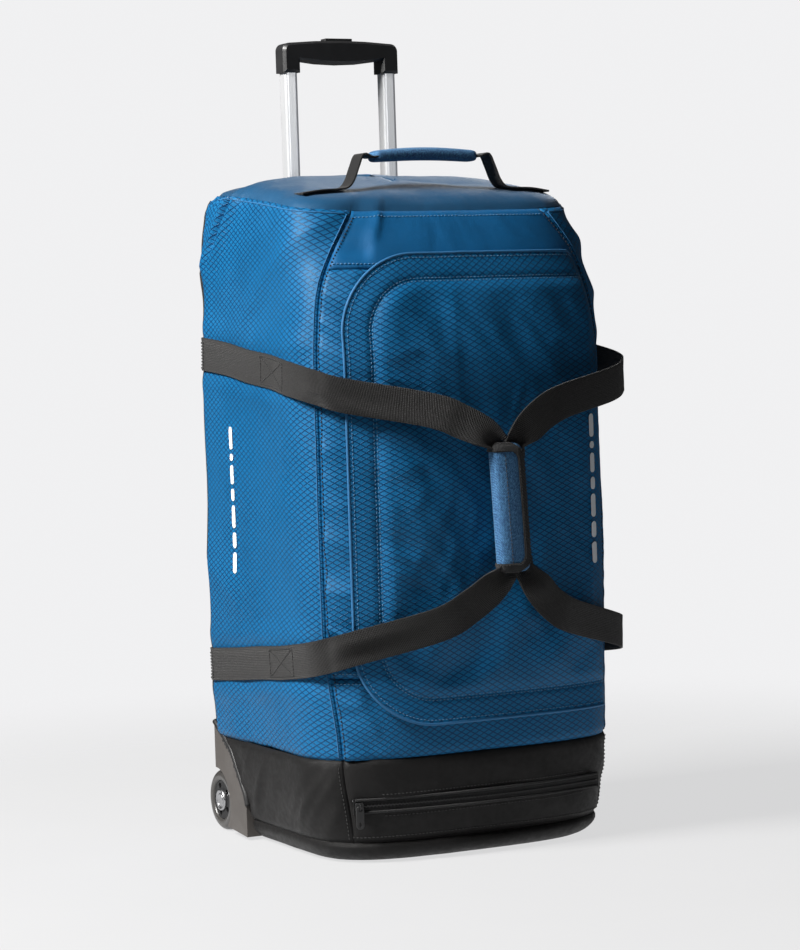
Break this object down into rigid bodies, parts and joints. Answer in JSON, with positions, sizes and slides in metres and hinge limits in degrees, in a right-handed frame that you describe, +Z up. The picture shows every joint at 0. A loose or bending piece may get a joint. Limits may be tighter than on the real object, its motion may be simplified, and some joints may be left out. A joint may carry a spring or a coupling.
{
  "type": "rolling duffel bag",
  "caption": "Tall soft wheeled duffel bag with a zipped front lid, wrapped carry straps, top grab handle and telescopic trolley handle.",
  "frame": {"origin": "centre of the flat patch under the base, on the floor that the wheels also touch", "axes": "+Z up the bag's height, front face towards -Y, the bag's own left as seen from the front is -X"},
  "size_m": [0.4011, 0.406, 0.929],
  "materials": {
    "ripstop_fabric": "coated ripstop weave with a diamond grid, soft sheen",
    "plain_fabric": "fine plain weave, soft sheen",
    "base_fabric": "coated black polyester",
    "webbing": "flat herringbone webbing",
    "zip_tape": "woven tape with coil teeth",
    "handle_twill": "blue twill",
    "housing_plastic": "fine moulded grain",
    "black_plastic": "satin moulded plastic",
    "tyre_rubber": "smooth polyurethane",
    "steel": "bright zinc",
    "tube_aluminium": "bright anodised",
    "stiff_board": "plain sheet"
  },
  "bodies": {
    "bag": {"side_panel_left": "ripstop_fabric", "side_panel_right": "ripstop_fabric", "front_strip_left": "ripstop_fabric", "front_lower_panel": "ripstop_fabric", "lid_flap": "ripstop_fabric", "front_yoke": "plain_fabric", "top_panel": "plain_fabric", "base_side_left": "base_fabric", "base_side_right": "base_fabric", "base_front": "base_fabric", "base_panel": "base_fabric", "back_cover": "base_fabric", "pocket_liner": "base_fabric", "strap_upper_left": "webbing", "strap_upper_right": "webbing", "strap_lower_left": "webbing", "strap_lower_right": "webbing", "grab_strap_left": "webbing", "grab_strap_right": "webbing", "back_piping_left": "webbing", "back_piping_right": "webbing", "main_zip_tape": "zip_tape", "pocket_zip_tape": "zip_tape", "handle_wrap": "handle_twill", "grab_sleeve": "handle_twill", "wheel_housing_left": "housing_plastic", "wheel_housing_right": "housing_plastic", "kick_plate": "black_plastic", "handle_bezel": "black_plastic", "tube_foot": "black_plastic", "axle_left": "steel", "axle_right": "steel", "axle_nut_left": "steel", "axle_nut_right": "steel", "outer_tube_left": "tube_aluminium", "outer_tube_right": "tube_aluminium", "back_board": "stiff_board", "base_board": "stiff_board"},
    "trolley": {"trolley_tube_left": "tube_aluminium", "trolley_tube_right": "tube_aluminium", "trolley_grip": "black_plastic", "lock_block_left": "black_plastic", "lock_block_right": "black_plastic"},
    "release": {"trolley_button": "black_plastic", "push_rod_left": "steel", "push_rod_right": "steel"},
    "wheel_left": {"tyre_left": "tyre_rubber", "wheel_core_left": "black_plastic", "bearing_outer_left": "steel", "bearing_inner_left": "steel"},
    "wheel_right": {"tyre_right": "tyre_rubber", "wheel_core_right": "black_plastic", "bearing_outer_right": "steel", "bearing_inner_right": "steel"},
    "pocket_slider": {"pocket_slider": "black_plastic"},
    "pocket_pull": {"pocket_pull": "black_plastic"},
    "main_zip_slider": {"main_zip_slider": "black_plastic"}
  },
  "joints": [
    {"name": "trolley_slide", "type": "slide", "parent": "bag", "child": "trolley", "axis": [0, 0, 1], "range_m": [-0.128, 0.175]},
    {"name": "release_button", "type": "slide", "parent": "trolley", "child": "release", "axis": [0, 0, 1], "range_m": [-0.003, 0], "stiffness_N_per_m": 900, "springref_m": 0.0012},
    {"name": "wheel_left_spin", "type": "hinge", "parent": "bag", "child": "wheel_left", "pos_m": [-0.1705, 0.16, 0.036], "axis": [1, 0, 0], "continuous": true},
    {"name": "wheel_right_spin", "type": "hinge", "parent": "bag", "child": "wheel_right", "pos_m": [0.1705, 0.16, 0.036], "axis": [1, 0, 0], "continuous": true},
    {"name": "pocket_zip", "type": "hinge", "parent": "bag", "child": "pocket_slider", "pos_m": [0, 0.44, 0.065], "axis": [0, 0, 1], "range_deg": [0, 28.6]},
    {"name": "pocket_pull_swing", "type": "hinge", "parent": "pocket_slider", "child": "pocket_pull", "pos_m": [-0.15003, -0.14858, 0.067], "axis": [0.969, -0.247, 0], "range_deg": [-150, 0]},
    {"name": "main_zip", "type": "slide", "parent": "bag", "child": "main_zip_slider", "axis": [0, 0, 1], "range_m": [0, 0.2]}
  ]
}
